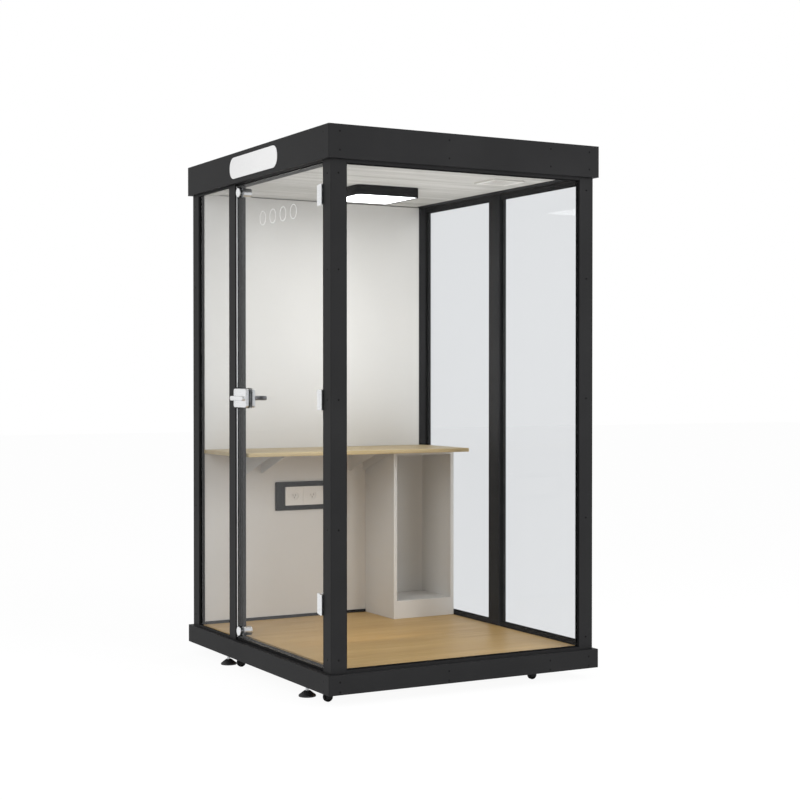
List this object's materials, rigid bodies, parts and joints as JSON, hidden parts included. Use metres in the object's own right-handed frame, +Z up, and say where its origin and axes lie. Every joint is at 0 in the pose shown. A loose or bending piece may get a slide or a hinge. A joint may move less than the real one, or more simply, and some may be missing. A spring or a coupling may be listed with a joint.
{
  "type": "acoustic office pod",
  "caption": "Free-standing glazed acoustic office pod for one person, with a hinged glass door, lever lock, wall desk, open cabinet, ceiling lamp and extract fan, on levelling feet.",
  "frame": {"origin": "on the ground, below the middle of the whole object's box, lever handle included", "axes": "+Z up, -Y out of the door face, +X towards the large side glass, desk wall on the -X side"},
  "size_m": [1.5, 1.354, 2.3],
  "materials": {
    "charcoal_frame": "matt charcoal powder coat",
    "charcoal_panel": "composite board, matt charcoal face",
    "clear_glass": "clear laminated glass",
    "silver_hardware": "satin silver",
    "black_rubber": "matt black",
    "oak_floor": "light oak boards, satin",
    "oak_desk": "light oak, satin",
    "ceiling_wood": "whitewashed grey wood",
    "white_board": "off-white faced board",
    "white_metal": "off-white powder coat",
    "white_plastic": "warm white",
    "black_plastic": "matt black",
    "diffuser": "opal white"
  },
  "bodies": {
    "pod": {"plinth_front": "charcoal_frame", "plinth_right": "charcoal_frame", "plinth_rear": "charcoal_frame", "plinth_left": "charcoal_frame", "cross_beam": "charcoal_frame", "post_front_left": "charcoal_frame", "post_front_right": "charcoal_frame", "post_rear_left": "charcoal_frame", "post_rear_right": "charcoal_frame", "door_mullion": "charcoal_frame", "rear_mullion": "charcoal_frame", "fascia_front": "charcoal_frame", "fascia_right": "charcoal_frame", "fascia_rear": "charcoal_frame", "fascia_left": "charcoal_frame", "sidelight_glass": "clear_glass", "right_glass": "clear_glass", "rear_glass_left": "clear_glass", "rear_glass_right": "clear_glass", "hinge_top_frame_leaf": "silver_hardware", "hinge_middle_frame_leaf": "silver_hardware", "hinge_bottom_frame_leaf": "silver_hardware", "magnet_catch_top": "silver_hardware", "magnet_catch_bottom": "silver_hardware", "bolt_keeper": "silver_hardware", "acoustic_wall": "charcoal_panel", "roof_panel": "charcoal_panel", "floor_panel": "oak_floor", "desk_top": "oak_desk", "ceiling_panel": "ceiling_wood", "wall_lining": "white_board", "cabinet": "white_board", "desk_bracket_left": "white_metal", "desk_bracket_right": "white_metal", "socket_insert": "white_plastic", "vent_grille": "white_plastic", "socket_plate": "black_plastic", "lamp_housing": "black_plastic", "fan_housing": "black_plastic", "lamp_diffuser": "diffuser"},
    "door": {"door_glass": "clear_glass", "hinge_top_door_leaf": "silver_hardware", "hinge_middle_door_leaf": "silver_hardware", "hinge_bottom_door_leaf": "silver_hardware", "armature_top": "silver_hardware", "armature_bottom": "silver_hardware", "lock_case": "silver_hardware"},
    "lever": {"lever_handle": "silver_hardware", "thumb_turn": "silver_hardware"},
    "bolt": {"lock_bolt": "silver_hardware"},
    "fan": {"fan_rotor": "black_plastic"},
    "switch": {"light_switch": "white_plastic"},
    "foot_front_left": {"foot_front_left": "black_rubber"},
    "foot_front_right": {"foot_front_right": "black_rubber"},
    "foot_rear_left": {"foot_rear_left": "black_rubber"},
    "foot_rear_right": {"foot_rear_right": "black_rubber"},
    "wheel_front_left": {"wheel_front_left": "black_rubber"},
    "wheel_front_right": {"wheel_front_right": "black_rubber"},
    "wheel_rear_left": {"wheel_rear_left": "black_rubber"},
    "wheel_rear_right": {"wheel_rear_right": "black_rubber"}
  },
  "joints": [
    {"name": "door_hinge", "type": "hinge", "parent": "pod", "child": "door", "pos_m": [0.661, -0.612, 1.214], "axis": [0, 0, 1], "range_deg": [0, 105]},
    {"name": "lever_turn", "type": "hinge", "parent": "door", "child": "lever", "pos_m": [-0.108, -0.592, 1.214], "axis": [0, 1, 0], "range_deg": [-45, 0]},
    {"name": "bolt_slide", "type": "slide", "parent": "door", "child": "bolt", "axis": [-1, 0, 0], "range_m": [0, 0.014]},
    {"name": "fan_spin", "type": "hinge", "parent": "pod", "child": "fan", "pos_m": [0.4, 0.392, 2.21], "axis": [0, 0, 1], "continuous": true},
    {"name": "switch_rock", "type": "hinge", "parent": "pod", "child": "switch", "pos_m": [-0.6469, 0.077, 0.73], "axis": [0, 1, 0], "range_deg": [0, 6]},
    {"name": "foot_front_left_turn", "type": "hinge", "parent": "pod", "child": "foot_front_left", "pos_m": [-0.35, -0.585, 0.05], "axis": [0, 0, 1], "continuous": true},
    {"name": "foot_front_right_turn", "type": "hinge", "parent": "pod", "child": "foot_front_right", "pos_m": [0.475, -0.585, 0.05], "axis": [0, 0, 1], "continuous": true},
    {"name": "foot_rear_left_turn", "type": "hinge", "parent": "pod", "child": "foot_rear_left", "pos_m": [-0.35, 0.457, 0.05], "axis": [0, 0, 1], "continuous": true},
    {"name": "foot_rear_right_turn", "type": "hinge", "parent": "pod", "child": "foot_rear_right", "pos_m": [0.475, 0.457, 0.05], "axis": [0, 0, 1], "continuous": true},
    {"name": "wheel_front_left_spin", "type": "hinge", "parent": "pod", "child": "wheel_front_left", "pos_m": [-0.245, -0.569, 0.024], "axis": [1, 0, 0], "continuous": true},
    {"name": "wheel_front_right_spin", "type": "hinge", "parent": "pod", "child": "wheel_front_right", "pos_m": [0.632, -0.569, 0.024], "axis": [1, 0, 0], "continuous": true},
    {"name": "wheel_rear_left_spin", "type": "hinge", "parent": "pod", "child": "wheel_rear_left", "pos_m": [-0.245, 0.412, 0.024], "axis": [1, 0, 0], "continuous": true},
    {"name": "wheel_rear_right_spin", "type": "hinge", "parent": "pod", "child": "wheel_rear_right", "pos_m": [0.632, 0.412, 0.024], "axis": [1, 0, 0], "continuous": true}
  ],
  "couplings": [
    {"joint": "bolt_slide", "follows": "lever_turn", "m_per_rad": -0.017825}
  ]
}
